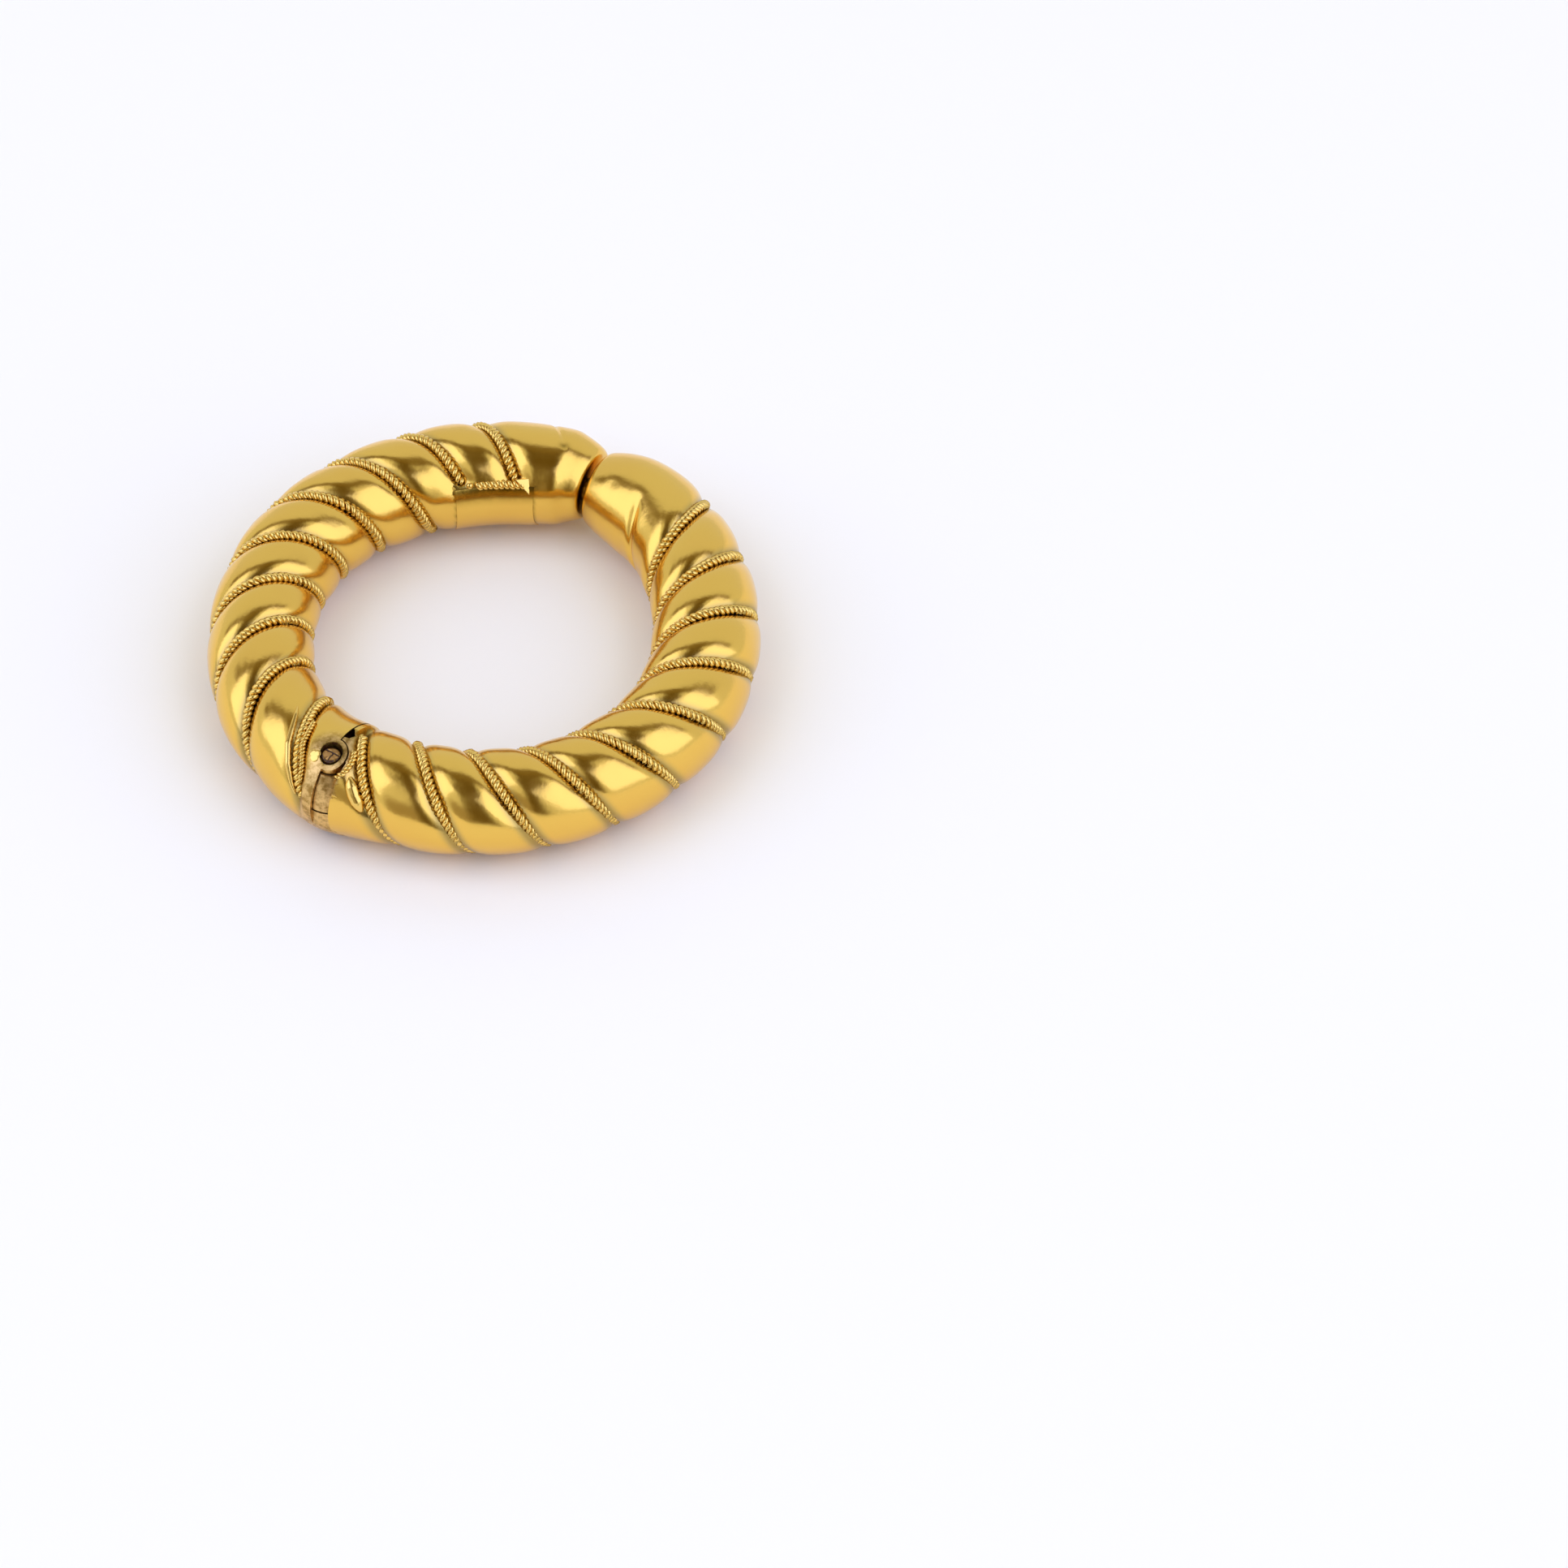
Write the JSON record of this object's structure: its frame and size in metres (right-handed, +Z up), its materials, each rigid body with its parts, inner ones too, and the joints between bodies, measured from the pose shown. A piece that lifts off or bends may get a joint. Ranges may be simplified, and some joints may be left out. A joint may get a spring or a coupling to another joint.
{
  "type": "twisted hoop earring",
  "caption": "Hinged hollow gold hoop earring with a spiral twist, soldered rope wires, plain caps at the clasp and a curved post for the ear",
  "frame": {"origin": "centre of the hoop's outline, on the surface that it lies on", "axes": "+Y points to the clasp gap and -Y to the hinge, +Z is up out of the surface, and the post enters the back half towards -X"},
  "size_m": [0.0258, 0.0265, 0.0054],
  "materials": {
    "satin_gold": "soft satin polish on high-carat yellow gold, with fine wear",
    "rivet_gold": "filed flush, slightly rosier gold",
    "post_gold": "smooth drawn wire"
  },
  "bodies": {
    "back": {"back_half": "satin_gold", "hinge_pin": "rivet_gold"},
    "front": {"front_half": "satin_gold", "ear_post": "post_gold"}
  },
  "joints": [
    {"name": "hoop_hinge", "type": "hinge", "parent": "back", "child": "front", "pos_m": [-0.00138, -0.01151, 0.00268], "axis": [0, 0, -1], "range_deg": [0, 25]}
  ]
}
